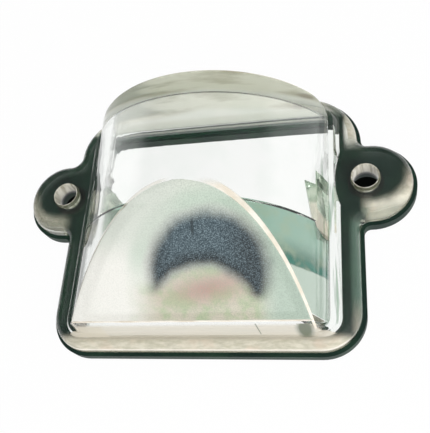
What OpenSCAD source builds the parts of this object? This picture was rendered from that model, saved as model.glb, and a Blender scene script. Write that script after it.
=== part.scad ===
// Number plate lamp: a clear moulded lens with two screw ears, on a flat rubber gasket.
// The origin is the middle of the underside; +Y points away from the sloped window.

/* [Screw fixing] */
// Distance of each screw hole's centre outside the flange's side
hole_out = 1.35; // [0.8:0.05:2.5]
// Diameter of the screw holes
hole_d = 4.7; // [3:0.1:5]
// Distance of the line of holes behind the middle of the flange
ear_y = 6.2; // [4:0.1:8]
// Thickness of the raised rim round each hole
rim_t = 0.45; // [0.3:0.05:1.2]
// Height of the raised rim above the ear
rim_h = 0.9; // [0.3:0.1:2]

/* [Ears] */
// Outer radius of an ear
ear_r = 7.6; // [6.5:0.1:9]
// Distance of an ear's centre outside its screw hole
ear_reach = 0.9; // [0:0.1:1.5]
// Radius of the web between an ear and the flange's side
web_r = 2; // [1:0.1:3]

/* [Flange] */
// Flange left on each side of the dome
side_land = 3.25; // [2.6:0.05:4.5]
// Length of the flange from front to back
flange_l = 51; // [49:0.5:56]
// Thickness of the flange
flange_t = 2.9; // [2.4:0.1:4]
// Radius of the flange's rounded top edge
edge_r = 2.2; // [0.8:0.1:2.3]
// Radius of the flange's front corners
front_corner_r = 7; // [5:0.5:9]
// Radius of the flange's back corners
back_corner_r = 10; // [7:0.5:11]

/* [Gasket] */
// Thickness of the gasket
gasket_t = 2; // [1:0.1:4]
// How far the gasket stands out beyond the flange
gasket_lip = 0.7; // [0.2:0.1:0.9]
// How far the gasket reaches in under the front and back of the lens cavity
gasket_inset = 0.6; // [0.2:0.1:1.5]
// How far the sides of the gasket's opening stand outside the cavity
gasket_side_gap = 1.35; // [0.4:0.05:1.8]
// Diameter of the gasket's screw holes
gasket_hole_d = 5.8; // [5.2:0.1:7]

/* [Dome] */
// Height of the lens from its underside to the ridge
lens_h = 20.6; // [18:0.1:24]
// Width of the dome's foot on the flange
foot_w = 50.8; // [46:0.1:58]
// Height of the foot above the flange
foot_h = 1.7; // [1:0.1:3]
// How far the foot's sides lean in
foot_lean = 1; // [0.3:0.1:1.5]
// Width of the ledge between the foot and the barrel vault
ledge_w = 0.9; // [0.4:0.1:1.5]
// Rise of that ledge towards the vault
ledge_rise = 0.15; // [0:0.05:0.5]
// Flange left in front of the dome
front_land = 2; // [1:0.1:3]
// Flange left behind the dome
back_land = 3.9; // [3:0.1:6]
// Height of the front wall above the lens underside
front_wall_h = 9.6; // [7.5:0.1:12]
// Lean of the front wall, in degrees
front_draft = 8; // [2:0.5:12]
// Lean of the back wall, in degrees
back_draft = 3; // [1:0.5:6]
// Slope of the frosted window, in degrees
window_slope = 27.6; // [22:0.2:34]
// Radius of the dome's upright corners
dome_corner_r = 3; // [1.5:0.1:4]

/* [Cavity] */
// Thickness of the vault, the window and the front wall
wall = 2.2; // [1.6:0.1:3]
// Thickness of the back wall at the lens underside
back_wall = 1.9; // [1.4:0.1:2.6]
// Lean of the cavity's back wall, in degrees
core_draft = 9; // [4:0.5:12]
// Extra thickness of the vault over the front stretch of the cavity
step_t = 0.7; // [0.3:0.1:1.2]
// Place of that step behind the middle of the flange
step_y = -3.9; // [-8:0.1:-1]
// Radius of the cavity's upright corners
core_corner_r = 1.6; // [0.8:0.1:3]

/* [Screw pads and scallops] */
// How far each pad's back corner stands in from the cavity's side
pad_reach = 4.1; // [2.6:0.1:4.4]
// Length of a pad's face from front to back
pad_l = 9.4; // [6:0.1:11]
// Place of that face's middle behind the middle of the flange
pad_y = -0.1; // [-2:0.1:4]
// Height of a pad above the lens underside
pad_h = 6; // [3:0.1:7]
// How much less a pad's front corner stands in than its back one
pad_skew = 1.5; // [0:0.1:1.9]
// Slant of a pad's ends, forward for each millimetre outwards
pad_slant = 0.6; // [0:0.05:0.9]
// How far the heel behind each pad stands in from the cavity's side
heel_reach = 2.35; // [1.6:0.05:2.5]
// Length of the heel
heel_l = 2.9; // [1:0.1:4]
// Radius of the hollow that clears the screw head in the foot's side
scallop_r = 16; // [10:0.5:20]
// Depth of that hollow
scallop_depth = 0.9; // [0.3:0.1:1]

/* [Hidden] */
$fn = 96;
// Facets round the small sections of the rounded edges and of the rims' lips
edge_fn = 24;
lip_fn = 12;
// Overlap that keeps joined solids from only touching, and cuts from ending on a face
lap = 1;
// How far the web's arc cuts into the ear and the flange's side, so that the surfaces cross
web_bite = 0.02;

lens_z = gasket_t;
flange_z = lens_z + flange_t;
ridge_z = lens_z + lens_h;
foot_x = foot_w / 2;
half_w = foot_x + side_land;
half_l = flange_l / 2;

hole_x = half_w + hole_out;
ear_x = hole_x + ear_reach;
// Centre of the arc that blends an ear into the flange's side, counted from the ear's height
web_x = half_w + web_r;
web_y = sqrt(pow(ear_r + web_r, 2) - pow(web_x - ear_x, 2));

// Dome: the vault springs from the ledge as a circular arc up to the ridge
foot_front = -half_l + front_land;
foot_back = half_l - back_land;
foot_top_x = foot_x - foot_lean;
foot_top_z = flange_z + foot_h;
spring_x = foot_top_x - ledge_w;
spring_z = foot_top_z + ledge_rise;
rise = ridge_z - spring_z;
vault_r = (pow(spring_x, 2) + pow(rise, 2)) / (2 * rise);
vault_z = ridge_z - vault_r;

// Window: from the top of the front wall up to the ridge
sill_z = lens_z + front_wall_h;
sill_y = foot_front + (sill_z - flange_z) * tan(front_draft);

// Cavity: the dome's planes moved in by the walls
core_r = vault_r - wall;
core_top_z = vault_z + core_r;
core_front = foot_front - flange_t * tan(front_draft) + wall / cos(front_draft);
core_back = foot_back + flange_t * tan(back_draft) - back_wall;
core_x = sqrt(pow(core_r, 2) - pow(lens_z - vault_z, 2));
core_drop = wall / cos(window_slope);
core_sill_z = (sill_z - core_drop + (core_front - lens_z * tan(front_draft) - sill_y) * tan(window_slope))
    / (1 - tan(front_draft) * tan(window_slope));
pad_x = core_x - pad_reach;
heel_x = core_x - heel_reach;

// Distance from the middle, along Y, of the dome's sloped and upright planes at a height z
function front_y(z) = foot_front + (z - flange_z) * tan(front_draft);
function back_y(z) = foot_back - (z - flange_z) * tan(back_draft);
function window_y(z) = sill_y + (z - sill_z) / tan(window_slope);
function core_front_y(z) = core_front + (z - lens_z) * tan(front_draft);
function core_back_y(z) = core_back - (z - lens_z) * tan(core_draft);
function core_window_y(z) = window_y(z + core_drop);

module both_sides() {
    children();
    mirror([1, 0, 0])
        children();
}

// Extrudes a section drawn in X and Z along Y
module along_y(from, to) {
    translate([0, to, 0])
        rotate([90, 0, 0])
            linear_extrude(to - from)
                children();
}

// Extrudes a section drawn in Y and Z along X, over a width about the middle
module along_x(width) {
    translate([-width / 2, 0, 0])
        rotate([90, 0, 90])
            linear_extrude(width)
                children();
}

// Rectangle from front to back with round corners, twice x wide
module round_box(x, front, back, front_r, back_r) {
    translate([-x, front + front_r])
        square([2 * x, back - back_r - front - front_r]);
    translate([-x + front_r, front])
        square([2 * (x - front_r), front_r + lap]);
    translate([-x + back_r, back - back_r - lap])
        square([2 * (x - back_r), back_r + lap]);
    both_sides() {
        translate([x - front_r, front + front_r])
            circle(front_r);
        translate([x - back_r, back - back_r])
            circle(back_r);
    }
}

// Four corners of the block between an ear and the flange's side
function web_block() = [
    [half_w - edge_r - lap, 0],
    [ear_x, 0],
    [web_x, web_y],
    [half_w - edge_r - lap, web_y]
];

// Runs its children for both webs of the right ear, at the ear's height
module each_web() {
    translate([0, ear_y]) {
        children();
        mirror([0, 1, 0])
            children();
    }
}

// Plan of the flange with its ears, grown outwards
module plan(grow = 0) {
    round_box(half_w + grow, -half_l - grow, half_l + grow, front_corner_r + grow, back_corner_r + grow);
    both_sides() {
        translate([ear_x, ear_y])
            circle(ear_r + grow);
        each_web()
            difference() {
                polygon(web_block());
                translate([web_x, web_y])
                    circle(web_r - grow);
            }
    }
}

// Section of the flange from its inside, at zero, out to its rounded top edge
module edge_section(reach) {
    square([reach - edge_r, flange_t]);
    square([reach, flange_t - edge_r]);
    translate([reach - edge_r, flange_t - edge_r])
        intersection() {
            circle(edge_r, $fn = edge_fn);
            square(edge_r);
        }
}

module edge_disc(r) {
    rotate_extrude()
        edge_section(r);
}

// Straight stretch of flange whose rounded edge faces +X
module edge_bar(from, to, reach) {
    along_y(from, to)
        edge_section(reach);
}

// Tool that hollows the corner beside an ear and flares with the rounded edge
module web_cutter() {
    r = web_r + web_bite;
    rotate_extrude() {
        translate([0, -lap])
            square([r, flange_t + 2 * lap]);
        difference() {
            translate([0, flange_t - edge_r])
                square([r + edge_r, edge_r + lap]);
            translate([r + edge_r, flange_t - edge_r])
                circle(edge_r, $fn = edge_fn);
        }
    }
}

// Plate of bars, corner discs, ears and the blocks between the ears and the plate
module flange_blank() {
    front_reach = half_w - front_corner_r;
    back_reach = half_w - back_corner_r;
    both_sides() {
        edge_bar(-half_l + front_corner_r, half_l - back_corner_r, half_w);
        translate([front_reach, -half_l + front_corner_r, 0])
            edge_disc(front_corner_r);
        translate([back_reach, half_l - back_corner_r, 0])
            edge_disc(back_corner_r);
        translate([ear_x, ear_y, 0])
            edge_disc(ear_r);
        each_web()
            linear_extrude(flange_t)
                polygon(web_block());
    }
    rotate([0, 0, -90])
        edge_bar(-front_reach, front_reach, half_l);
    rotate([0, 0, 90])
        edge_bar(-back_reach, back_reach, half_l);
}

// Flange and ears, with one rounded edge all round the top
module flange() {
    translate([0, 0, lens_z])
        difference() {
            flange_blank();
            both_sides()
                each_web()
                    translate([web_x, web_y, 0])
                        web_cutter();
        }
}

// Raised rim round a screw hole, with a round lip
module rim() {
    rotate_extrude() {
        square([hole_d / 2 + rim_t, flange_t + rim_h - rim_t / 2]);
        translate([hole_d / 2 + rim_t / 2, flange_t + rim_h - rim_t / 2])
            circle(rim_t / 2, $fn = lip_fn);
    }
}

// The dome seen from the side: front wall, window, ridge and back wall
module dome_side() {
    bottom = flange_z - lap;
    top = ridge_z + lap;
    polygon([
        [front_y(bottom), bottom],
        [sill_y, sill_z],
        [window_y(top), top],
        [back_y(top), top],
        [back_y(bottom), bottom]
    ]);
}

// Upper part of a circle about the vault's axis
module vault_section(r, bottom) {
    intersection() {
        translate([0, vault_z])
            circle(r);
        translate([-r, bottom])
            square([2 * r, 2 * r]);
    }
}

// Low foot with leaning sides and a ledge, hollowed beside the screws
module foot() {
    difference() {
        intersection() {
            along_y(-half_l, half_l)
                polygon([
                    [-foot_x, flange_z - lap],
                    [-foot_x, flange_z],
                    [-foot_top_x, foot_top_z],
                    [-spring_x, spring_z],
                    [spring_x, spring_z],
                    [foot_top_x, foot_top_z],
                    [foot_x, flange_z],
                    [foot_x, flange_z - lap]
                ]);
            linear_extrude(ridge_z)
                round_box(foot_x, foot_front, foot_back, dome_corner_r, dome_corner_r);
        }
        both_sides()
            translate([foot_x - scallop_depth + scallop_r, ear_y, flange_z])
                cylinder(r = scallop_r, h = foot_h + ledge_rise + lap);
    }
}

module vault() {
    intersection() {
        along_y(-half_l, half_l)
            vault_section(vault_r, flange_z - lap);
        linear_extrude(ridge_z + lap)
            round_box(spring_x, foot_front, foot_back, dome_corner_r, dome_corner_r);
    }
}

module dome() {
    intersection() {
        along_x(foot_w + 2 * lap)
            dome_side();
        union() {
            foot();
            vault();
        }
    }
}

// The cavity seen from the side
module core_side() {
    bottom = lens_z - lap;
    top = core_top_z + lap;
    polygon([
        [core_front_y(bottom), bottom],
        [core_front_y(core_sill_z), core_sill_z],
        [core_window_y(top), top],
        [core_back_y(top), top],
        [core_back_y(bottom), bottom]
    ]);
}

// Distance from the middle, along Y, of a pad's front and back ends at a distance x to the side
function pad_front_y(x) = pad_y - pad_l / 2 - pad_slant * (x - pad_x - pad_skew);
function pad_back_y(x) = pad_y + pad_l / 2 - pad_slant * (x - pad_x);

// Screw pads: skewed blocks inside the cavity's sides, beside the screws, each with a heel behind it
module pads() {
    both_sides()
        translate([0, 0, lens_z - lap])
            linear_extrude(pad_h + lap)
                polygon([
                    [pad_x, pad_back_y(pad_x)],
                    [pad_x + pad_skew, pad_front_y(pad_x + pad_skew)],
                    [foot_x, pad_front_y(foot_x)],
                    [foot_x, pad_back_y(foot_x) + heel_l],
                    [heel_x, pad_back_y(heel_x) + heel_l],
                    [heel_x, pad_back_y(heel_x)]
                ]);
}

// Hollow of the lens: a vaulted room with a step in its ceiling, less the two pads
module cavity() {
    difference() {
        intersection() {
            along_x(foot_w)
                core_side();
            linear_extrude(ridge_z)
                round_box(core_x, core_front_y(lens_z - lap), core_back_y(lens_z - lap), core_corner_r, core_corner_r);
            union() {
                along_y(step_y, half_l)
                    vault_section(core_r, lens_z - lap);
                along_y(-half_l, step_y + lap)
                    vault_section(core_r - step_t, lens_z - lap);
            }
        }
        pads();
    }
}

module lens() {
    color([0.86, 0.93, 0.9, 0.55])
        difference() {
            union() {
                flange();
                dome();
                both_sides()
                    translate([hole_x, ear_y, lens_z])
                        rim();
            }
            cavity();
            both_sides()
                translate([hole_x, ear_y, lens_z - lap])
                    cylinder(d = hole_d, h = flange_t + rim_h + 2 * lap);
        }
}

module gasket() {
    color([0.07, 0.1, 0.09])
        linear_extrude(gasket_t)
            difference() {
                plan(gasket_lip);
                round_box(core_x + gasket_side_gap, core_front + gasket_inset, core_back - gasket_inset,
                    core_corner_r, core_corner_r);
                both_sides()
                    translate([hole_x, ear_y])
                        circle(d = gasket_hole_d);
            }
}

lens();
gasket();
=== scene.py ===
"""Number plate lamp: a clear moulded lens with a frosted window, on a black rubber gasket.

Lengths in this file are millimetres until a mesh is made, when they become metres.
"""

import math

import bmesh
import bpy
import numpy as np
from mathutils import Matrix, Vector
from mathutils.geometry import delaunay_2d_cdt


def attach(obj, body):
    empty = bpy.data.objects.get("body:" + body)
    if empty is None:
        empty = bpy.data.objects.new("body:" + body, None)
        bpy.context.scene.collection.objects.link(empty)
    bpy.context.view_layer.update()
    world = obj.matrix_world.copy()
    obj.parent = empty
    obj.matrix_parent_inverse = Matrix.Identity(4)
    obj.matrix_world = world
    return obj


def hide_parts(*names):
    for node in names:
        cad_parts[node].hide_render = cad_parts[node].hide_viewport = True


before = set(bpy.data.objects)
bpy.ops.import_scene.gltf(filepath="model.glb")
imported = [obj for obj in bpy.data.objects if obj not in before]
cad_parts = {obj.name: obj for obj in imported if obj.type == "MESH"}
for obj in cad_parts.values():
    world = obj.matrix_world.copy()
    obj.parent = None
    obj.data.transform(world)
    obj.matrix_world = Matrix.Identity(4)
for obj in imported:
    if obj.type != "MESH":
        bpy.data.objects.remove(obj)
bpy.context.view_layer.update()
MM = 0.001

# Sizes of the lens as in the part's source, apart from RIM_T and EDGE_IN, which follow the photo.
LENS_Z = 2.0
LENS_H = 20.6
RIDGE_Z = LENS_Z + LENS_H
FLANGE_T = 2.9
FLANGE_Z = LENS_Z + FLANGE_T
AIR = 0.03  # between the lens and the gasket
UNDER_Z = LENS_Z + AIR

# Flange and ears.
FOOT_X = 25.4
SIDE_LAND = 3.25
HALF_W = FOOT_X + SIDE_LAND
HALF_L = 25.5
EDGE_R = 2.2
EDGE_IN = 1.6
FRONT_CORNER_R = 7.0
BACK_CORNER_R = 10.0
HOLE_OUT = 1.35
HOLE_X = HALF_W + HOLE_OUT
HOLE_R = 2.35
RIM_T = 0.3
RIM_H = 0.9
BORE_LAND = 0.95  # ring of the underside that has the bore's finish
EAR_REACH = 0.9
EAR_X = HOLE_X + EAR_REACH
EAR_Y = 6.2
EAR_R = 7.6
WEB_R = 2.0
WEB_X = HALF_W + WEB_R
WEB_Y = math.sqrt((EAR_R + WEB_R) ** 2 - (WEB_X - EAR_X) ** 2)

# Foot, ledge and vault; FRONT_LEAN and BACK_LEAN are the tangents of the end walls' angles.
FOOT_H = 1.7
FOOT_TOP_Z = FLANGE_Z + FOOT_H
FOOT_LEAN = 1.0
FOOT_TOP_X = FOOT_X - FOOT_LEAN
LEDGE_W = 0.9
LEDGE_RISE = 0.15
SPRING_X = FOOT_TOP_X - LEDGE_W
SPRING_Z = FOOT_TOP_Z + LEDGE_RISE
VAULT_R = (SPRING_X**2 + (RIDGE_Z - SPRING_Z) ** 2) / (2 * (RIDGE_Z - SPRING_Z))
VAULT_Z = RIDGE_Z - VAULT_R
FRONT_LAND = 2.0
BACK_LAND = 3.9
FRONT = FRONT_LAND - HALF_L
BACK = HALF_L - BACK_LAND
FRONT_DRAFT = math.radians(8)
BACK_DRAFT = math.radians(3)
WINDOW_SLOPE = math.radians(27.6)
FRONT_LEAN = math.tan(FRONT_DRAFT)
BACK_LEAN = math.tan(BACK_DRAFT)
WINDOW_RISE = math.tan(WINDOW_SLOPE)
FRONT_WALL_H = 9.6
SILL_Z = LENS_Z + FRONT_WALL_H
SILL_Y = FRONT + (SILL_Z - FLANGE_Z) * FRONT_LEAN
DOME_CORNER_R = 3.0
SCALLOP_R = 16.0
SCALLOP_DEPTH = 0.9

# Hollow, with the step in its ceiling.
WALL = 2.2
BACK_WALL = 1.9
CORE_DRAFT = math.radians(9)
CORE_BACK_LEAN = math.tan(CORE_DRAFT)
CORE_R = VAULT_R - WALL
CORE_X = math.sqrt(CORE_R**2 - (LENS_Z - VAULT_Z) ** 2)
CORE_DROP = WALL / math.cos(WINDOW_SLOPE)
CORE_FRONT = FRONT - FLANGE_T * FRONT_LEAN + WALL / math.cos(FRONT_DRAFT)
CORE_BACK = BACK + FLANGE_T * BACK_LEAN - BACK_WALL
CORE_CORNER_R = 1.6
STEP_Y = -3.9
STEP_T = 0.7
STEP_RUN = 0.16  # the step is a short ramp here

# Screw pads with their heels.
PAD_REACH = 4.1
PAD_X = CORE_X - PAD_REACH
PAD_Y = -0.1
PAD_H = 6.0
PAD_L = 9.4
PAD_SKEW = 1.5
PAD_SLANT = 0.6
PAD_ROOT_X = 24.0  # the pads' outer sides end inside the wall, further in at the top
PAD_ROOT_TOP_X = 21.6
HEEL_REACH = 2.35
HEEL_X = CORE_X - HEEL_REACH
HEEL_L = 2.9

# Small roundings.
SOFT = 0.14  # radius of the edges round the roof of the dome and of the hollow
MEET = 0.12  # rounding where the window meets the vault
BREAK = 0.12  # break of the edges at the underside and on the pads

# Rows and columns of the dome's and the hollow's surfaces, and steps of the outline.
CORNER_TURNS = np.radians([0, 13, 25, 36, 47, 58, 69, 80, 90])
CLOSE_FROM, CLOSE_TO = -8.0, 2.0  # close rows, where the window runs out into the ridge
STEP_ROWS = np.array([-0.15, -0.05, 0.0, 0.05, 0.15])
STEP_CLEAR = 0.12  # the other rows keep this far from the step
NARROWEST, WIDEST_BEHIND = 0.3, 10.0  # half-widths that the columns of the window keep
WINDOW_COLUMNS, SIDE_COLUMNS = 31, 46
RING_GAP = 0.15  # distance of the wall's first and last ring from its edges
LONGEST_SIDE = 1.2  # between two points of the flange's outline
SUBSTITUTIONS = 14

# Each finish's place in the lens's list of materials.
CLEAR, WINDOW, HOLLOW, STRETCH, RIM, BORE, PAD = range(7)


# Mesh helpers.
class Skin:
    """Collects grids and fills of one surface, as whole arrays of points and faces."""

    def __init__(self):
        self.points, self.faces, self.kinds, self.count = [], [], [], 0

    def add(self, points, faces, kinds):
        """Takes points, faces that count from the first of these points, and the finish of each face."""
        points = points.reshape(-1, 3)
        self.points.append(points)
        self.faces.append(faces + self.count)
        self.kinds.append(np.broadcast_to(kinds, len(faces)))
        self.count += len(points)

    def grid(self, p, closed=False, kinds=CLEAR):
        """Quads between the neighbours of a grid of points; closed joins the last column to the first."""
        rows, cols = p.shape[:2]
        k = np.arange(rows * cols).reshape(rows, cols)
        if closed:
            k = np.column_stack([k, k[:, 0]])
        quads = np.stack([k[:-1, :-1], k[:-1, 1:], k[1:, 1:], k[1:, :-1]], -1).reshape(-1, 4)
        self.add(p, quads, np.broadcast_to(kinds, (rows - 1, k.shape[1] - 1)).reshape(-1))

    def plate(self, loops, z, kinds=CLEAR):
        """Flat fill at height z: triangles inside the first loop and outside the others."""
        flat = np.concatenate(loops)[:, :2]
        edges, start = [], 0
        for loop in loops:
            k = np.arange(len(loop)) + start
            edges.append(np.column_stack([k, np.roll(k, -1)]))
            start += len(loop)
        corners = [Vector(p) for p in flat]
        v, _, f, *_ = delaunay_2d_cdt(corners, np.concatenate(edges).tolist(), [], 0, 1e-7)
        v, f = np.array(v), np.array(f)
        middle = v[f].mean(1)
        keep = inside(middle, loops[0])
        for loop in loops[1:]:
            keep &= ~inside(middle, loop)
        self.add(np.column_stack([v, np.full(len(v), z)]), f[keep], kinds)


def inside(p, loop):
    """Which points lie inside a closed loop, by the parity of the edges crossed on the way to +X."""
    a, b = loop[:, :2], np.roll(loop[:, :2], -1, 0)
    y = p[:, 1][:, None]
    spans = (a[:, 1] > y) != (b[:, 1] > y)
    with np.errstate(divide="ignore", invalid="ignore"):
        x = a[:, 0] + (y - a[:, 1]) / (b[:, 1] - a[:, 1]) * (b[:, 0] - a[:, 0])
    return (spans & (x > p[:, 0][:, None])).sum(1) % 2 == 1


def arc(cx, cy, r, start, end, step=4.0):
    """Points and outward normals of an arc: centre + r (cos a, sin a); a hollow arc has r < 0."""
    n = max(int(abs(end - start) / step), 2)
    a = np.radians(np.linspace(start, end, n + 1))
    out = np.column_stack([np.cos(a), np.sin(a)])
    return np.array([cx, cy]) + abs(r) * out, out * np.sign(r)


def flange_path():
    """Outline of the flange, counterclockwise, with outward normals: corner arcs, webs and ears."""
    web = math.degrees(math.atan2(WEB_Y, WEB_X - EAR_X))
    parts = [
        arc(HALF_W - FRONT_CORNER_R, -HALF_L + FRONT_CORNER_R, FRONT_CORNER_R, -90, 0),
        arc(WEB_X, EAR_Y - WEB_Y, -WEB_R, 180, 180 - web, 6),
        arc(EAR_X, EAR_Y, EAR_R, -web, web, 3),
        arc(WEB_X, EAR_Y + WEB_Y, -WEB_R, 180 + web, 180, 6),
        arc(HALF_W - BACK_CORNER_R, HALF_L - BACK_CORNER_R, BACK_CORNER_R, 0, 90),
    ]
    p, n = (np.concatenate(rows) for rows in zip(*parts))
    p = np.concatenate([p, (p * [-1, 1])[::-1]])
    n = np.concatenate([n, (n * [-1, 1])[::-1]])
    return resample(p, n, LONGEST_SIDE)


def resample(p, n, longest):
    """Adds points to the straight stretches of a closed path, so that none is longer than given."""
    q, m = np.roll(p, -1, 0), np.roll(n, -1, 0)
    gap = np.linalg.norm(q - p, axis=1)
    parts = np.maximum(np.ceil(gap / longest).astype(int), 1)
    parts[gap <= 1e-6] = 0
    k = np.repeat(np.arange(len(p)), parts)
    t = (np.arange(len(k)) - np.repeat(np.cumsum(parts) - parts, parts)) / parts[k]
    normal = n[k] + (m[k] - n[k]) * t[:, None]
    return p[k] + (q[k] - p[k]) * t[:, None], normal / np.linalg.norm(normal, axis=1)[:, None]


def carry(path, normals, profile):
    """A profile of (distance outwards, height) carried along a closed path, a ring for each point."""
    d, z = profile[:, 0][:, None, None], profile[:, 1][:, None, None]
    ring = path[None] + normals[None] * d
    return np.concatenate([ring, np.broadcast_to(z, ring.shape[:2] + (1,))], -1)


def turn(cx, cy, profile, count=72):
    """A profile of (radius, height) turned round an upright axis: centre + r (cos a, sin a)."""
    a = np.arange(count) / count * 2 * math.pi
    out = np.column_stack([np.cos(a), np.sin(a)])
    return carry(np.array([cx, cy]) + 0 * out, out, profile)


def smooth(t):
    """Smooth rise from 0 to 1: 3 t^2 - 2 t^3."""
    t = np.clip(t, 0, 1)
    return t * t * (3 - 2 * t)


def toward(p, q, d):
    """Points a distance d from p towards q, or halfway where they are close."""
    gap = np.linalg.norm(q - p, axis=-1, keepdims=True)
    return p + (q - p) * np.minimum(d / np.maximum(gap, 1e-9), 0.5)


def wall_rings(top, base):
    """Rings from a roof's edge down to its base, close together at both ends."""
    start = toward(top, base, RING_GAP)
    between = [start + (base - start) * t for t in (0.33, 0.66)]
    return [start, *between, toward(base, start, RING_GAP), base]


# The lens's surface.
class Vault:
    """A barrel vault cut off by the sloped window over a rounded rectangle, as a surface of two parameters.

    Rows run from front to back and columns from left to right. A point's height is the smooth minimum
    of the vault's circular arc and the window's plane, and its place from front to back follows the
    leaning end walls. The half-width and the arc's radius are functions of y.
    """

    def __init__(self, half_width, radius, front, back, corner, back_lean, window_lift, base_z):
        self.half_width, self.radius = half_width, radius
        self.front, self.back, self.corner = front, back, corner
        self.back_lean, self.window_lift, self.base_z = back_lean, window_lift, base_z

    def lean(self, y):
        """Lean of the surface at y, from the front wall's to the back wall's."""
        s = (y - self.front) / (self.back - self.front)
        return (1 - s) * FRONT_LEAN - s * self.back_lean

    def window(self, y):
        """Height of the window's plane at y."""
        return SILL_Z + (y - SILL_Y) * WINDOW_RISE - self.window_lift

    def height(self, x, y):
        """min(arc, plane), rounded where the two meet: (a + b - sqrt((a - b)^2 + MEET^2)) / 2."""
        a = VAULT_Z + np.sqrt(np.maximum(self.radius(y) ** 2 - x**2, 0))
        b = self.window(y)
        return 0.5 * (a + b - np.sqrt((a - b) ** 2 + MEET**2))

    def place(self, x, y):
        """Leans a plan point with the end walls and gives its height, by repeated substitution."""
        z = np.full(np.broadcast(x, y).shape, SILL_Z)
        for _ in range(SUBSTITUTIONS):
            z = self.height(x, y + (z - self.base_z) * self.lean(y))
        return np.stack([x + 0 * z, y + (z - self.base_z) * self.lean(y), z], -1)

    def rows(self):
        """Places of the rows: round the corners, closer at the window's end, and both sides of the step."""
        c = self.corner - SOFT
        start = self.front + SOFT + c * (1 - np.cos(CORNER_TURNS))
        end = self.back - SOFT - c * (1 - np.cos(CORNER_TURNS[::-1]))
        window = np.linspace(start[-1], CLOSE_FROM, 24)
        close = np.linspace(CLOSE_FROM, CLOSE_TO, 40)
        behind = np.linspace(CLOSE_TO, end[0], 14)
        y = np.unique(np.concatenate([start, window[1:], close[1:], behind[1:], end]))
        return np.unique(np.concatenate([y[np.abs(y - STEP_Y) > STEP_CLEAR], STEP_Y + STEP_ROWS]))

    def depth(self, y):
        """How far y lies in the corners' stretch: 0 where they start, their radius at the end walls."""
        return np.maximum(np.maximum(self.front + self.corner - y, y - (self.back - self.corner)), 0)

    def reach(self, y):
        """Half-width of the rounded rectangle at y, drawn in by the edge's softness."""
        c = self.corner - SOFT
        return self.half_width(y) - self.corner + np.sqrt(np.maximum(c**2 - self.depth(y) ** 2, 0))

    def full(self, x, y):
        """Moves points of the drawn-in outline out to the full one, along its normal."""
        d = self.depth(y) * np.where(y < 0, -1, 1)
        over = np.maximum(np.abs(x) - (self.half_width(y) - self.corner), 0) * np.sign(x)
        size = np.maximum(np.hypot(over, d), 1e-9)
        return x + SOFT * over / size, y + SOFT * d / size

    def crease(self, y):
        """Half-width of the window at y; behind the ridge it grows again, to keep the columns apart."""
        lean = self.lean(y)
        rise = SILL_Z - self.window_lift + WINDOW_RISE * (y - self.base_z * lean - SILL_Y)
        z = rise / (1 - WINDOW_RISE * lean)
        top = VAULT_Z + self.radius(y)
        z = top - np.abs(top - z)
        x = np.sqrt(np.maximum(self.radius(y) ** 2 - (z - VAULT_Z) ** 2, NARROWEST**2))
        ridge = SILL_Y + (top + self.window_lift - SILL_Z) / WINDOW_RISE
        behind = y + (top - self.base_z) * lean > ridge
        return np.minimum(x, np.where(behind, WIDEST_BEHIND, 0.985 * self.reach(y)))

    def grid(self):
        """Columns that follow the window's crease, then spread over the arc as far as the corners allow."""
        y = self.rows()[:, None]
        crease, reach, r = self.crease(y), self.reach(y), self.radius(y)
        core = self.half_width(y) - self.corner
        wide = np.where(y > 0, self.half_width(y) - SOFT, reach)
        inner = np.linspace(0, 1, WINDOW_COLUMNS)[None]
        outer = np.linspace(0, 1, SIDE_COLUMNS)[None] ** 1.2
        from_a, to_a = np.arcsin(crease / r), np.arcsin(wide / r)
        window = crease * (1 - (1 - inner) ** 1.25)
        half = np.concatenate([window[:, :-1], r * np.sin(from_a + (to_a - from_a) * outer)], 1)
        squeezed = core + (half - core) * (reach - core) / np.maximum(wide - core, 1e-9)
        half = np.where((y > 0) & (half > core), squeezed, half)
        half[:, -1:] = reach
        x = np.concatenate([-half[:, :0:-1], half], 1)
        return x, y + 0 * x, self.place(x, y + 0 * x)

    def edge(self, x, y, base):
        """Rounded edge of the roof, a curve round the corner q: p (1 - t)^2 + 2 q t (1 - t) + r t^2."""
        p, q = self.place(x, y), self.place(*self.full(x, y))
        q[:, 2] = np.maximum(q[:, 2], base[:, 2])
        r = toward(q, base, SOFT)
        return [p * (1 - t) ** 2 + q * 2 * t * (1 - t) + r * t * t for t in (0, 0.25, 0.5, 0.75, 1)]

    def level(self, x, y, z, half_width=None):
        """The plan's edge at height z, spread to another half-width outside its corners."""
        z = z + 0 * x
        w = self.half_width(y)
        half_width = w if half_width is None else half_width
        core = w - self.corner
        outside = x + np.sign(x) * (half_width - w)
        spread = np.where(np.abs(x) > core, outside, x * (half_width - self.corner) / core)
        return np.stack([spread, y + (z - self.base_z) * self.lean(y), z], -1)


def outline(a):
    """The edge of a grid as one closed loop, counterclockwise from its front left corner."""
    return np.concatenate([a[0, :-1], a[:-1, -1], a[-1, :0:-1], a[:0:-1, 0]])


def scallop(ring):
    """Pulls a ring in beside the screws, to the circle that clears a screw head."""
    x, y = ring[:, 0], ring[:, 1]
    centre = FOOT_X - SCALLOP_DEPTH + SCALLOP_R
    limit = centre - np.sqrt(np.maximum(SCALLOP_R**2 - (y - EAR_Y) ** 2, 0))
    limit = np.where(np.abs(y - EAR_Y) < SCALLOP_R, limit, np.inf)
    return np.column_stack([np.sign(x) * np.minimum(np.abs(x), limit), ring[:, 1:]])


def all_along(value):
    """A size that stays the same from front to back, as a function of y."""
    return lambda y: value + 0 * y


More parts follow.
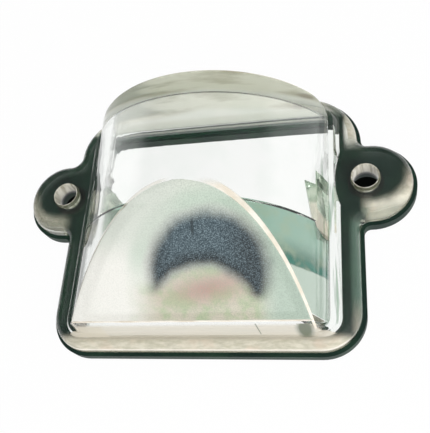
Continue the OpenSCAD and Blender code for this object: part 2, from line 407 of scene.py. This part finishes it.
def add_vault(skin):
    """Vault, window and end walls from the roof grid, then rings down the foot to the flange."""
    vault = Vault(half_width=all_along(SPRING_X), radius=all_along(VAULT_R), front=FRONT, back=BACK,
                  corner=DOME_CORNER_R, back_lean=BACK_LEAN, window_lift=0.0, base_z=FLANGE_Z)
    x, y, p = vault.grid()
    middle = (p[:-1, :-1] + p[1:, 1:] + p[1:, :-1] + p[:-1, 1:]) / 4
    on_window = vault.window(middle[..., 1]) < VAULT_Z + np.sqrt(VAULT_R**2 - middle[..., 0] ** 2)
    skin.grid(p, kinds=np.where(on_window, WINDOW, CLEAR))
    x, y = outline(x), outline(y)
    full_x, full_y = vault.full(x, y)
    base = vault.level(full_x, full_y, SPRING_Z)
    rings = vault.edge(x, y, base)
    rings += wall_rings(rings[-1], base)
    rings.append(vault.level(full_x, full_y, SPRING_Z - 0.025, SPRING_X + 0.15))
    foot = [
        (FOOT_TOP_X - 0.12, FOOT_TOP_Z + 0.02),
        (FOOT_TOP_X, FOOT_TOP_Z - 0.04),
        (FOOT_TOP_X + 0.1, FOOT_TOP_Z - 0.2),
        (FOOT_X - 0.15, FLANGE_Z + 0.3),
        (FOOT_X - 0.03, FLANGE_Z + 0.12),
        (FOOT_X + 0.04, FLANGE_Z + 0.03),
        (FOOT_X + 0.09, FLANGE_Z),
    ]
    near = DOME_CORNER_R / 2
    side = np.where(full_y < FRONT + near, -1.0, np.where(full_y > BACK - near, 1.0, 0.0))
    for half_width, z in foot:
        ring = scallop(vault.level(full_x, full_y, z, half_width))
        ring[:, 1] += side * max(FLANGE_Z + 0.2 - z, 0) * 0.4
        rings.append(ring)
    skin.grid(np.stack(rings)[::-1], closed=True)
    return rings[-1]


def hollow_radius(y):
    """Radius of the hollow's ceiling, less by the step in front of it."""
    return CORE_R - STEP_T * (1 - smooth((y - STEP_Y) / STEP_RUN + 0.5))


def hollow_half_width(y):
    """Half-width of the hollow at the underside: sqrt(radius^2 - height^2)."""
    return np.sqrt(hollow_radius(y) ** 2 - (UNDER_Z - VAULT_Z) ** 2)


def add_hollow(skin):
    """The hollow: the same kind of vault with a step in its ceiling, down to the underside."""
    hollow = Vault(half_width=hollow_half_width, radius=hollow_radius, front=CORE_FRONT, back=CORE_BACK,
                   corner=CORE_CORNER_R, back_lean=CORE_BACK_LEAN, window_lift=CORE_DROP, base_z=LENS_Z)
    x, y, p = hollow.grid()
    near, far = y[:-1, :-1], y[1:, 1:]
    beside = np.abs(x[:-1, :-1] + x[1:, 1:]) > hollow.crease(near) + hollow.crease(far)
    kinds = np.where((near < STEP_Y - 0.01) & beside, STRETCH, HOLLOW)
    p[..., 2] = np.maximum(p[..., 2], UNDER_Z)
    skin.grid(p[:, ::-1], kinds=kinds[:, ::-1])
    x, y = outline(x), outline(y)
    base = hollow.level(*hollow.full(x, y), UNDER_Z)
    rings = hollow.edge(x, y, base)
    for ring in rings:
        ring[:, 2] = np.maximum(ring[:, 2], UNDER_Z)
    rings += wall_rings(rings[-1], base)
    skin.grid(np.stack(rings), closed=True, kinds=HOLLOW)
    return base


def flange_profile():
    """Section of the flange's edge: a broken lower edge, a quarter ellipse, and the start of the top."""
    a = np.radians(np.linspace(0, 90, 13))
    lower = [[-0.2, UNDER_Z], [-0.05, UNDER_Z + 0.03], [0, UNDER_Z + BREAK]]
    quarter = np.column_stack([-EDGE_IN + EDGE_IN * np.cos(a), FLANGE_Z - EDGE_R + EDGE_R * np.sin(a)])
    return np.concatenate([lower, quarter, [[-EDGE_IN - 0.03, FLANGE_Z]]])


def bore_profile():
    """Section of a screw hole: a ring of the underside, the bore, the rounded rim and its small fillet."""
    a = np.radians(np.linspace(180, 0, 9))
    lip = RIM_T / 2
    over = np.column_stack([HOLE_R + lip + lip * np.cos(a), FLANGE_Z + RIM_H - lip + lip * np.sin(a)])
    lower = [[HOLE_R + BORE_LAND, UNDER_Z], [HOLE_R + BREAK, UNDER_Z], [HOLE_R, UNDER_Z + BREAK]]
    rim_r = HOLE_R + RIM_T
    fillet = [[rim_r, FLANGE_Z + 0.2], [rim_r + 0.03, FLANGE_Z + 0.05], [rim_r + 0.1, FLANGE_Z]]
    return np.concatenate([lower, over, fillet])


def add_flange(skin, foot, opening):
    """Edge carried along the outline, screw holes turned, and flat top and underside between them."""
    edge = carry(*flange_path(), flange_profile())
    skin.grid(edge, closed=True, kinds=RIM)
    holes = [turn(side * HOLE_X, EAR_Y, bore_profile()) for side in (-1, 1)]
    for hole in holes:
        skin.grid(hole[::-1], closed=True, kinds=BORE)
    skin.plate([edge[-1], foot, *(hole[-1] for hole in holes)], FLANGE_Z)
    skin.plate([edge[0], opening, *(hole[0] for hole in holes)], UNDER_Z)


def slanted(x, x0, y0):
    """Where a pad's slanted end that starts at (x0, y0) has come to at x."""
    return y0 - PAD_SLANT * (x - x0)


def screw_pads():
    """The two screw pads: a plan with slanted ends and a heel behind, carried up from the underside."""
    skin = Skin()
    front_x = PAD_X + PAD_SKEW
    front_y, back_y = PAD_Y - PAD_L / 2, PAD_Y + PAD_L / 2
    heel_y = slanted(HEEL_X, PAD_X, back_y)
    plan = np.array([
        [PAD_X, back_y],
        [front_x, front_y],
        [PAD_ROOT_X, slanted(PAD_ROOT_X, front_x, front_y)],
        [PAD_ROOT_X, slanted(PAD_ROOT_X, PAD_X, back_y) + HEEL_L],
        [HEEL_X, heel_y + HEEL_L],
        [HEEL_X, heel_y],
    ])
    for side in (-1, 1):
        rings = [np.column_stack([plan * [side, 1], np.full(6, z)]) for z in (UNDER_Z, LENS_Z + PAD_H)]
        rings[1][2:4, 0] = side * PAD_ROOT_TOP_X
        skin.grid(np.stack(rings), closed=True, kinds=PAD)
        for ring in rings:
            skin.add(ring, np.array([[5, 0, 1, 2], [5, 2, 3, 4]]), PAD)
    return skin


def merge(me, gap, outwards=False):
    """Joins a mesh's points that are closer than a gap, drops slivers, and can turn its faces outwards."""
    bm = bmesh.new()
    bm.from_mesh(me)
    bmesh.ops.remove_doubles(bm, verts=bm.verts, dist=gap * MM)
    bmesh.ops.dissolve_degenerate(bm, edges=bm.edges, dist=gap / 2 * MM)
    if outwards:
        bmesh.ops.recalc_face_normals(bm, faces=bm.faces)
    bm.to_mesh(me)
    bm.free()


def add_object(name, data):
    """A new object of the scene, at the origin."""
    ob = bpy.data.objects.new(name, data)
    bpy.context.scene.collection.objects.link(ob)
    return ob


def build_mesh(name, skin, materials):
    """Puts a skin's arrays into a mesh, in metres, joins its doubles and turns its faces outwards."""
    points = np.concatenate(skin.points) * MM
    sizes = np.concatenate([np.full(len(f), f.shape[1]) for f in skin.faces])
    flat = np.concatenate([f.ravel() for f in skin.faces]).astype(np.int32)
    me = bpy.data.meshes.new(name)
    me.vertices.add(len(points))
    me.vertices.foreach_set("co", points.astype(np.float32).ravel())
    me.loops.add(len(flat))
    me.loops.foreach_set("vertex_index", flat)
    me.polygons.add(len(sizes))
    me.polygons.foreach_set("loop_start", np.concatenate([[0], np.cumsum(sizes)[:-1]]).astype(np.int32))
    me.polygons.foreach_set("material_index", np.concatenate(skin.kinds).astype(np.int32))
    me.update(calc_edges=True)
    me.validate()
    for material in materials:
        me.materials.append(material)
    merge(me, 0.004, outwards=True)
    me.shade_smooth()
    return add_object(name, me)


def join(base, other):
    """Makes the first object the union of both closed meshes, with the second one's edges broken."""
    soften = other.modifiers.new("edges", "BEVEL")
    soften.width, soften.segments = BREAK * MM, 2
    union = base.modifiers.new("union", "BOOLEAN")
    union.operation, union.solver, union.object = "UNION", "EXACT", other
    bpy.context.view_layer.update()
    me = bpy.data.meshes.new_from_object(base.evaluated_get(bpy.context.evaluated_depsgraph_get()))
    base.modifiers.clear()
    base.data = me
    bpy.data.objects.remove(other)
    merge(me, 0.002)
    me.set_sharp_from_angle(angle=math.radians(30))


# Shader maths.
class Value:
    """A shader value that takes part in Python expressions: each operator adds its Math node."""

    def __init__(self, finish, socket):
        self.finish, self.socket = finish, socket

    def maths(self, operation, *values):
        """One Math node of the given operation."""
        return self.finish.node("ShaderNodeMath", {"operation": operation}, *values)

    def __add__(self, other):
        return self.maths("ADD", self, other)

    def __sub__(self, other):
        return self.maths("SUBTRACT", self, other)

    def __rsub__(self, other):
        return self.maths("SUBTRACT", other, self)

    def __mul__(self, other):
        return self.maths("MULTIPLY", self, other)

    def __truediv__(self, other):
        return self.maths("DIVIDE", self, other)

    def __pow__(self, other):
        return self.maths("POWER", self, other)

    def __abs__(self):
        return self.maths("ABSOLUTE", self)

    __radd__, __rmul__ = __add__, __mul__

    def root(self):
        return self.maths("SQRT", self)

    def bigger(self, other):
        return self.maths("MAXIMUM", self, other)

    def ramp(self, low, high):
        """0 below low, 1 above high, smooth between; the other way round where low is above high."""
        ends = (min(low, high), max(low, high), 0.0, 1.0)
        t = self.finish.node("ShaderNodeMapRange", {"interpolation_type": "SMOOTHSTEP"}, self, *ends)
        return 1 - t if low > high else t


class Finish:
    """A material under construction: node() adds any node, sets its settings, then its inputs."""

    def __init__(self, name, world=False):
        self.data = bpy.data.worlds.new(name) if world else bpy.data.materials.new(name)
        self.data.use_nodes = True
        self.tree = self.data.node_tree
        self.tree.nodes.clear()

    def node(self, kind, settings=None, *values, out=0, **named):
        """Inputs are given in their order or by name, as numbers, colours or other nodes' values."""
        n = self.tree.nodes.new(kind)
        for key, value in (settings or {}).items():
            setattr(n, key, value)
        inputs = [i for i in n.inputs if i.enabled]
        by_name = ((n.inputs[key.replace("_", " ")], value) for key, value in named.items())
        for slot, value in [*zip(inputs, values), *by_name]:
            if isinstance(value, Value):
                self.tree.links.new(value.socket, slot)
            elif value is not None:
                slot.default_value = (*value, 1) if slot.type == "RGBA" and len(value) == 3 else value
        return Value(self, n.outputs[out])

    def place(self):
        """Object coordinates in millimetres: the point, and its x, y and z."""
        at = self.node("ShaderNodeTexCoord", out="Object")
        at = self.node("ShaderNodeVectorMath", {"operation": "SCALE"}, at, Scale=1000.0)
        return at, *(self.node("ShaderNodeSeparateXYZ", None, at, out=k) for k in "XYZ")

    def noise(self, at, size, detail=2.0, rough=0.5, stretch=(1, 1, 1)):
        """Noise with lumps of a size in millimetres, drawn out along an axis by a stretch above 1."""
        at = self.node("ShaderNodeMapping", None, at, Scale=tuple(1 / (size * k) for k in stretch))
        return self.node("ShaderNodeTexNoise", None, Vector=at, Scale=1.0, Detail=detail, Roughness=rough)

    def bump(self, height, strength, distance):
        """Normal of a surface with a fine relief, its depth in metres."""
        return self.node("ShaderNodeBump", None, Height=height, Strength=strength, Distance=distance)

    def blend(self, mask, a, b):
        """Colour a where the mask is 0, b where it is 1."""
        return self.node("ShaderNodeMix", {"data_type": "RGBA"}, mask, a, b, out=2)

    def layers(self, colour, *coats):
        """A colour with coats laid over it in turn, each given as its mask and its colour."""
        for mask, coat in coats:
            colour = self.blend(mask, colour, coat)
        return colour

    def mixed(self, mask, a, b):
        """Shader a where the mask is 0, b where it is 1."""
        return self.node("ShaderNodeMixShader", None, mask, a, b)

    def moulded(self, colour, roughness, normal=None, transmission=1.0):
        """Clear moulding, or a haze on it where the transmission is 0."""
        return self.node("ShaderNodeBsdfPrincipled", None, Base_Color=colour, Roughness=roughness, IOR=1.49,
                         Transmission_Weight=transmission, Normal=normal)

    def ray(self, kind):
        """1 for rays of one kind, such as Camera, else 0."""
        return self.node("ShaderNodeLightPath", out=f"Is {kind} Ray")

    def lets_light(self, body, through):
        """Lets the lamps' light through the body, tinted, so that what lies behind it is lit."""
        return self.mixed(self.ray("Shadow"), body, self.node("ShaderNodeBsdfTransparent", None, through))

    def wear(self, shader, output="ShaderNodeOutputMaterial"):
        """Links the shader to the output and gives the finished material or world."""
        self.tree.links.new(shader.socket, self.tree.nodes.new(output).inputs[0])
        return self.data


def tone(r, g, b):
    """A colour as the eye reads it, in steps of 255, as the linear values that a shader works in."""
    return tuple((c / 255 / 12.92) if c <= 10 else ((c / 255 + 0.055) / 1.055) ** 2.4 for c in (r, g, b))


def tint(r, g, b):
    """The colour for a surface that turns white light to the given one where it is crossed once."""
    return tuple(c * c for c in tone(r, g, b))


def strongest(mask, *others):
    """The largest of several masks."""
    for other in others:
        mask = mask.bigger(other)
    return mask


def from_point(u, v, u0, v0, wide=1.0, high=1.0):
    """Distance from (u0, v0) in half-sizes of an oval: sqrt(((u - u0) / wide)^2 + ((v - v0) / high)^2)."""
    return (((u - u0) / wide) ** 2.0 + ((v - v0) / high) ** 2.0).root()


def from_hole(x, y):
    """Distance from the axis of the nearer screw hole."""
    return from_point(abs(x), y, HOLE_X, EAR_Y)


def arc_height(x, radius):
    """Height of the vault's arc, or of the ceiling's below it: axis + sqrt(radius^2 - x^2)."""
    return (radius**2 - x * x).bigger(0.0).root() + VAULT_Z


# Finishes.
GLASSY = tone(249, 252, 249)
# Colours of painted highlights: dim green on the flange's right side, cream on the right ear's front.
RIGHT_SIDE_HIGHLIGHT_GREEN = tone(112, 144, 126)
EAR_HIGHLIGHT_CREAM = tone(238, 235, 218)


def flange_painted_highlight(f, at, x, y):
    """Where the flange has a painted highlight: front and back, round the ears' front, and weakly at the
    right.
    """
    across = abs(x)
    patches = f.noise(at, 2.5, 3.0, 0.6)
    front = y.ramp(-22.4, -24.2)
    back = y.ramp(20.6, 22.4) * (x.ramp(24.0, 20.0) * 0.6 + 0.15)
    round_ear = from_point(across, y, EAR_X + 0.8, EAR_Y + 1.2) + (patches - 0.5)
    stretch = across.ramp(28.5, 31.5) * (y - across * 0.3).ramp(-11.0, -8.5) * y.ramp(10.0, 4.0)
    ears = round_ear.ramp(4.6, 7.2) * stretch * (x.ramp(-20.0, 20.0) * 0.5 + 0.45)
    side = x.ramp(26.4, 27.8) * y.ramp(0.0, -4.0) * 0.3
    corner = x.ramp(25.9, 27.0) * y.ramp(13.0, 16.5) * 0.75
    return strongest(front, back, ears, side, corner) * (patches * 0.5 + 0.7)


def crease_band(x, y, z):
    """Where a band runs along the edge between the window and the vault, wider and longer on the right."""
    beside = (y - SILL_Y) * WINDOW_RISE + SILL_Z - arc_height(x, VAULT_R)
    right = beside.ramp(-0.1, 0.1) * beside.ramp(0.85, 0.6) * x.ramp(2.0, 6.0) * y.ramp(-1.0, -3.0)
    left = beside.ramp(-0.1, 0.1) * beside.ramp(0.4, 0.25) * x.ramp(-1.0, -4.0) * 0.6
    return right.bigger(left) * z.ramp(7.5, 8.5)


def haze_and_highlight_colour(f, at, x, y, z, streaks, flat):
    """Beige of the dull parts and of the painted highlights: clouded behind, paler low down, olive high on
    the left and with a brown spot there; browner at the front; the highlights green and cream at the right.
    """
    behind = y.ramp(10.0, 12.0)
    rise = z + abs(x) * 0.18
    clouds = f.noise(at, 5.0, 3.0, 0.55, (2, 1, 1)).ramp(0.35, 0.6)
    low = behind * rise.ramp(13.0, 10.5)
    high_left = behind * rise.ramp(12.4, 13.8) * (x + clouds * 4.0).ramp(-2.0, -9.0)
    spot = behind * from_point(x, z, 18.6, 9.8, wide=1.581).ramp(1.9, 0.6)
    beside_foot = flat * x.ramp(25.5, 26.5) * x.ramp(31.0, 29.0) * y.ramp(2.0, -3.0)
    return f.layers(
        f.blend(streaks.ramp(0.3, 0.7), tone(200, 195, 174), tone(216, 211, 194)),
        (behind, f.blend(clouds, tone(178, 172, 146), tone(226, 224, 207))),
        (low, tone(238, 237, 228)),
        (high_left * 0.8, tone(122, 128, 104)),
        (spot * 0.8, tone(124, 110, 82)),
        (y.ramp(SILL_Y + 1.0, SILL_Y) * 0.7, tone(192, 184, 168)),
        (beside_foot, RIGHT_SIDE_HIGHLIGHT_GREEN),
        (flat * x.ramp(29.0, 33.0) * y.ramp(4.0, 0.0), EAR_HIGHLIGHT_CREAM),
    )


def clear_plastic():
    """Vault, foot and flange top: clear with faint waves, a cream band along the crease, a painted highlight
    along the window's lower edge, painted highlights on the flange, and dull patches.
    """
    f = Finish("clear_plastic")
    at, x, y, z = f.place()
    normal = f.bump(f.noise(at, 2.5, 1.0, 0.5, (1, 6, 1)), 0.06, 0.0004)
    streaks = f.noise(at, 1.4, 2.0, 0.5, (9, 1, 1))
    flat = z.ramp(FLANGE_Z + 0.3, FLANGE_Z + 0.1)
    # Painted highlight on the flat top of the flange.
    painted_highlight = flange_painted_highlight(f, at, x, y) * flat
    crease = crease_band(x, y, z)
    # Painted highlight along the lower edge of the window.
    sill_highlight = z.ramp(SILL_Z - 0.45, SILL_Z - 0.25) * y.ramp(SILL_Y + 0.25, SILL_Y + 0.1)
    dulled = (streaks * 0.25 + 0.62).bigger(x.ramp(-13.0, -17.0) * 0.95)
    front = y.ramp(SILL_Y - 0.1, SILL_Y - 0.35) * z.ramp(FLANGE_Z, FLANGE_Z + 0.3) * dulled
    on_front = front.ramp(0.05, 0.2)
    patch = from_point(x, z, 19.5, 8.2, wide=1.333, high=3.333).ramp(1.5, 0.6) * on_front * 0.97
    scratch = abs(x + z * 0.07 - 12.31).ramp(0.13, 0.05) * z.ramp(6.0, 6.5) * on_front
    back = (y + (z - FLANGE_Z) * BACK_LEAN).ramp(BACK - 0.3, BACK - 0.12) * z.ramp(4.4, 5.6) * 0.74
    cream = f.blend(f.noise(at, 3.5, 2.0, 0.5).ramp(0.35, 0.65), tone(232, 221, 202), tone(250, 244, 232))
    colour = f.layers(
        haze_and_highlight_colour(f, at, x, y, z, streaks, flat),
        # Cream band along the crease and painted highlight along the window's lower edge.
        (crease.bigger(sill_highlight), cream),
        (patch.bigger(scratch), tone(88, 98, 78)),
    )
    lines = f.noise(at, 0.9, 2.0, 0.6, (1, 12, 1)).ramp(0.5, 0.68) * x.ramp(21.0, 23.0) * flat.ramp(1.0, 0.5)
    clear = f.moulded(f.blend(lines, GLASSY, tint(176, 196, 180)), 0.03, normal)
    haze = f.moulded(colour, 0.35, normal, 0.0)
    # Haze where the plastic is dull, and where highlights are painted.
    haze_and_highlight = strongest(crease * 0.9, sill_highlight * 0.7, painted_highlight, front, patch, scratch, back)
    return f.wear(f.lets_light(f.mixed(haze_and_highlight, clear, haze), (0.93, 0.96, 0.94)))


def hollow_plastic():
    """The hollow's walls, the back one with painted shade in dark green at its foot, and a fine dark line at
    its top.
    """
    f = Finish("hollow_plastic")
    at, x, y, z = f.place()
    # Painted shade: a dark green band low on the back wall.
    foot = y.ramp(15.0, 16.5) * z.ramp(5.4, 4.2)
    at_back = (y + (z - LENS_Z) * CORE_BACK_LEAN).ramp(CORE_BACK - 0.5, CORE_BACK - 0.2)
    line = at_back * (arc_height(x, CORE_R) - z).ramp(0.4, 0.2)
    colour = f.layers(
        f.blend(f.noise(at, 6.0, 2.0).ramp(0.4, 0.7), tone(253, 253, 252), tone(246, 249, 246)),
        (foot, tint(34, 84, 66)),
        (line * 0.9, tint(70, 80, 66)),
    )
    return f.wear(f.lets_light(f.moulded(colour, 0.03), (0.95, 0.96, 0.95)))


def teal_tint_and_reflection():
    """The thick front stretch of the hollow's ceiling: teal for its thickness and as a painted reflection of
    the dark gasket, down to a straight border near the front.
    """
    f = Finish("teal_tint_and_reflection")
    at, _, y, _ = f.place()
    cloud = f.noise(at, 3.0, 2.0)
    colour = f.layers(
        # Teal tint with a painted reflection of the dark gasket, ending in a paler border.
        f.blend(y.ramp(-8.0, -12.4), tint(148, 182, 165), tint(12, 116, 98)),
        (cloud.ramp(0.45, 0.7) * 0.5, tint(160, 180, 152)),
        ((y + cloud * 0.6).ramp(-13.1, -13.5), tint(190, 206, 193)),
    )
    return f.wear(f.lets_light(f.moulded(colour, 0.08), (0.74, 0.9, 0.87)))


def frosted_window():
    """The window: fine frost, with a painted reflection in it: a soft dark arched band over a beige and pink
    centre.
    """
    f = Finish("frosted_window")
    at, x, y, _ = f.place()
    fine = f.noise(at, 0.2, 2.0, 0.65)
    cloud = f.noise(at, 3.0, 3.0, 0.55)
    wobble = (cloud - 0.5) * 1.2
    up = y / math.cos(WINDOW_SLOPE)
    from_outer = from_point(x, up, 4.38, -17.31) + wobble
    from_inner = from_point(x, up, 3.16, -25.75) - wobble

    # Painted reflection: a soft dark arched band.
    legs = y.ramp(-20.4, -18.4) * (y - x * 0.1).ramp(-18.8, -16.8).bigger(x.ramp(6.0, 9.0))
    reflected_arch = from_outer.ramp(12.1, 8.5) * from_inner.ramp(8.2, 10.8) * legs
    darkest = strongest(from_inner.ramp(13.0, 10.2), x.ramp(6.0, 12.0) * 0.8, x.ramp(-1.0, -5.0) * 0.8)
    reflection_colour = f.blend(darkest, tone(38, 56, 64), tone(8, 15, 18))
    reflection_colour = f.blend(fine.ramp(0.42, 0.70) * (1 - darkest * 0.5), reflection_colour, tone(114, 134, 142))

    round_arch = from_outer.ramp(10.3, 12.0) * from_outer.ramp(15.5, 12.5) * y.ramp(-19.0, -11.0)
    # Beige centre of the painted reflection, under the dark band and across the front of the window.
    front = (y + wobble).ramp(-15.5, -18.5) * (x + wobble * 2.0).ramp(-11.0, -4.0) * x.ramp(16.5, 11.5)
    below = front.bigger(from_inner.ramp(10.0, 8.6) * 0.85)
    # Pink centre of the painted reflection.
    pink_reflection = from_point(x, up - x * 0.13, 4.2, -20.6, wide=3.015) + wobble * 1.5
    frost = f.layers(
        f.blend((x + wobble).ramp(-12.0, 4.0), tone(237, 236, 229), tone(210, 217, 204)),
        (round_arch * 0.75, tone(187, 205, 188)),
        (y.ramp(-14.5, -8.5) * x.ramp(2.0, -4.0) * 0.75, tone(204, 211, 200)),
        (below, f.blend(cloud.ramp(0.4, 0.62), tone(204, 198, 180), tone(178, 190, 156))),
        (pink_reflection.ramp(3.9, -0.2) * (fine * 0.7 + 0.4), tone(176, 136, 126)),
        (x.ramp(12.0, 16.5), tone(180, 197, 182)),
        (fine.ramp(0.58, 0.38) * (x.ramp(-10.0, 2.0) * 0.13 + 0.11), tone(110, 124, 112)),
    )

    streak = from_point(x, up, 2.1, -9.7, wide=0.3536, high=1.8257).ramp(1.1, 0.5)
    smudge = from_point(x, up, -1.9, -10.5, wide=0.5774, high=1.5811).ramp(1.2, 0.3) * 0.5
    dirt = streak.bigger(smudge) * (reflected_arch * 0.6 + 0.2) * (fine * 0.4 + 0.7)
    colour = f.layers(frost, (reflected_arch, reflection_colour), (dirt, tone(20, 32, 36)))
    normal = f.bump(fine, 0.3, 0.0002)
    return f.wear(f.lets_light(f.moulded(colour, 0.4, normal, 0.15), (0.8, 0.82, 0.8)))


def edge_plastic():
    """The flange's rounded edge: clear, with the same painted highlights as the flat beside it and a painted
    bright line low on the front.
    """
    f = Finish("edge_plastic")
    at, x, y, z = f.place()
    mottle = f.noise(at, 0.6, 3.0, 0.6, (3, 1, 1))
    # Painted highlight on the rounded edge, as on the flat beside it.
    painted_highlight = flange_painted_highlight(f, at, x, y) * z.ramp(2.7, 3.9)
    right_side = x.ramp(26.0, 27.2) * x.ramp(31.0, 29.0) * y.ramp(-20.0, -16.0) * y.ramp(3.0, -1.0)
    colour = f.layers(
        f.blend(mottle.ramp(0.3, 0.7), tone(180, 176, 156), tone(206, 201, 184)),
        (f.noise(at, 5.0, 2.0).ramp(0.5, 0.7) * 0.5, tone(204, 184, 166)),
        (right_side, RIGHT_SIDE_HIGHLIGHT_GREEN),
        (x.ramp(30.0, 33.0) * y.ramp(4.0, 0.0) * z.ramp(3.0, 4.2), EAR_HIGHLIGHT_CREAM),
        # Painted highlight: a bright line low on the front of the edge.
        (z.ramp(3.0, 3.3) * z.ramp(3.9, 3.5) * y.ramp(-20.0, -24.0), tone(246, 240, 228)),
    )
    haze = f.moulded(colour, 0.35, None, 0.0)
    return f.wear(f.lets_light(f.mixed(painted_highlight, f.moulded(GLASSY, 0.04), haze), (0.8, 0.85, 0.8)))


def bore_plastic():
    """The screw holes' walls and rims: dulled, pale beige inside and brown-green outside, with painted
    shade, near black, low down.
    """
    f = Finish("bore_plastic")
    at, x, y, z = f.place()
    streaks = f.noise(at, 0.7, 2.0, 0.5, (1, 1, 8)).ramp(0.35, 0.65)
    outer = from_hole(x, y).ramp(HOLE_R + 0.16, HOLE_R + 0.26)
    colour = f.layers(
        f.blend(streaks, tone(172, 166, 146), tone(240, 236, 224)),
        (outer, tone(84, 86, 66)),
        # Painted shade: near black low in the bore and on the underside ring round it.
        (z.ramp(3.4, 2.4), tone(24, 30, 26)),
    )
    haze = f.moulded(colour, 0.3, None, 0.0)
    body = f.mixed(z.ramp(2.6, 2.2) * 0.2 + 0.8, f.moulded(tone(245, 247, 240), 0.08), haze)
    return f.wear(f.lets_light(body, (0.03, 0.03, 0.03)))


def pad_plastic():
    """The screw pads: thick moulding, so tinted green and beige, with a haze in streaks."""
    f = Finish("pad_plastic")
    at, _, y, z = f.place()
    streaks = f.noise(at, 4.0, 2.0, 0.5, (1, 1, 3))
    front = (y - z * 0.3 + streaks * 2.0).ramp(-0.6, -2.2)
    colour = f.layers(
        f.blend(streaks.ramp(0.4, 0.6), tone(140, 166, 144), tone(236, 238, 226)),
        (front, tone(246, 235, 222)),
    )
    haze = f.moulded(colour, 0.3, None, 0.0)
    hazed = (streaks.ramp(0.3, 0.7) * 0.4 + 0.18).bigger(front * 0.75)
    body = f.mixed(hazed, f.moulded(tint(212, 222, 208), 0.02), haze)
    return f.wear(f.lets_light(body, (0.85, 0.92, 0.88)))


def black_rubber():
    """The gasket: black-green rubber with a fine grain, greener and paler in broad patches."""
    f = Finish("black_rubber")
    at, *_ = f.place()
    grain = f.noise(at, 0.3, 3.0, 0.6)
    colour = f.blend(f.noise(at, 7.0, 2.0).ramp(0.35, 0.7), (0.003, 0.018, 0.012), (0.008, 0.032, 0.017))
    return f.wear(f.node("ShaderNodeBsdfPrincipled", None, Base_Color=colour, Roughness=grain * 0.2 + 0.45,
                         Specular_IOR_Level=0.3, Normal=f.bump(grain, 0.25, 0.0002)))


def pale_ground():
    """Pale ground: white where it is seen, with a trace of shade, and painted shade, black, inside the screw
    holes.
    """
    f = Finish("pale_ground")
    _, x, y, _ = f.place()
    to_hole = from_hole(x, y)
    lit = f.node("ShaderNodeBsdfDiffuse", None, (0.92, 0.92, 0.92))
    # Painted shade: the ground seen through the screw holes is black.
    black = f.node("ShaderNodeBsdfDiffuse", None, (0.01, 0.012, 0.01))
    white = f.node("ShaderNodeEmission", None, (1, 1, 1), 1.0)
    seen = f.mixed(to_hole.ramp(3.5, 6.0) * 0.96, f.mixed(to_hole.ramp(2.9, 3.4), black, lit), white)
    through = f.ray("Glossy").bigger(f.ray("Transmission"))
    return f.wear(f.mixed(through, f.mixed(f.ray("Camera"), lit, seen), white))


def dress_gasket():
    """The gasket is the solid's own piece, in black rubber."""
    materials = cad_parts["gasket"].data.materials
    materials.clear()
    materials.append(black_rubber())


def make_lens():
    """The lens's skin with the screw pads joined to it."""
    skin = Skin()
    foot = add_vault(skin)
    opening = add_hollow(skin)
    add_flange(skin, foot, opening)
    materials = [clear_plastic(), frosted_window(), hollow_plastic(), teal_tint_and_reflection(), edge_plastic(),
                 bore_plastic(), pad_plastic()]
    lens = build_mesh("lens_skin", skin, materials)
    join(lens, build_mesh("pads", screw_pads(), materials))
    return lens


# The camera as fitted to the photo: angles in degrees, place, and focal length in pixels.
CAMERA_ANGLES = (26.08272, 14.23354, 3.76324)
CAMERA_AT = (32.38, -51.99, 111.33)
FOCAL_PX = 643.48
PHOTO_WIDTH_PX = 430

# Light and ground, in metres.
BRIGHT_SIDE = (0.5, -0.6, 0.62)
TO_SOFTBOX = (0.55, -0.6, 0.62)
SOFTBOX_DISTANCE = 0.5
SOFTBOX_SIZE = 0.3
FLOOR_HALF = 3.0
FLOOR_Z = -0.0001


def make_camera():
    """The camera that took the photo."""
    data = bpy.data.cameras.new("camera")
    data.sensor_fit = "HORIZONTAL"
    data.sensor_width = 36
    data.lens = FOCAL_PX / PHOTO_WIDTH_PX * data.sensor_width
    data.clip_start = 0.005
    data.clip_end = 20
    camera = add_object("camera", data)
    camera.location = Vector(CAMERA_AT) * MM
    camera.rotation_euler = [math.radians(angle) for angle in CAMERA_ANGLES]
    bpy.context.scene.camera = camera


def make_floor():
    """A wide flat square of ground under the gasket."""
    me = bpy.data.meshes.new("floor")
    corners = [(-1, -1), (1, -1), (1, 1), (-1, 1)]
    me.from_pydata([(x * FLOOR_HALF, y * FLOOR_HALF, FLOOR_Z) for x, y in corners], [], [(0, 1, 2, 3)])
    me.materials.append(pale_ground())
    return add_object("floor", me)


def make_sky():
    """White light from low down all round and from the softbox's side; the rest of the sky is dark."""
    f = Finish("studio", world=True)
    way = f.node("ShaderNodeTexCoord", out="Generated")
    up = f.node("ShaderNodeSeparateXYZ", None, way, out="Z")
    aligned = f.node("ShaderNodeVectorMath", {"operation": "DOT_PRODUCT"}, way, BRIGHT_SIDE, out="Value")
    level = 1 - up.ramp(0.3, 0.55) * (1 - aligned.ramp(0.15, 0.75)) * 0.85
    light = f.node("ShaderNodeBackground", None, (1, 1, 1), level)
    bpy.context.scene.world = f.wear(light, "ShaderNodeOutputWorld")


def make_softbox():
    """One square softbox at the front right, left out of mirror reflections."""
    data = bpy.data.lights.new("softbox", "AREA")
    data.size = SOFTBOX_SIZE
    data.energy = 1.3
    softbox = add_object("softbox", data)
    softbox.visible_glossy = False
    softbox.location = Vector(TO_SOFTBOX).normalized() * SOFTBOX_DISTANCE
    softbox.rotation_euler = (-softbox.location).to_track_quat("-Z", "Y").to_euler()


dress_gasket()
lens = make_lens()
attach(lens, "root")
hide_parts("lens")

make_camera()
bpy.context.scene.view_settings.view_transform = "Standard"
floor = make_floor()
make_sky()
make_softbox()
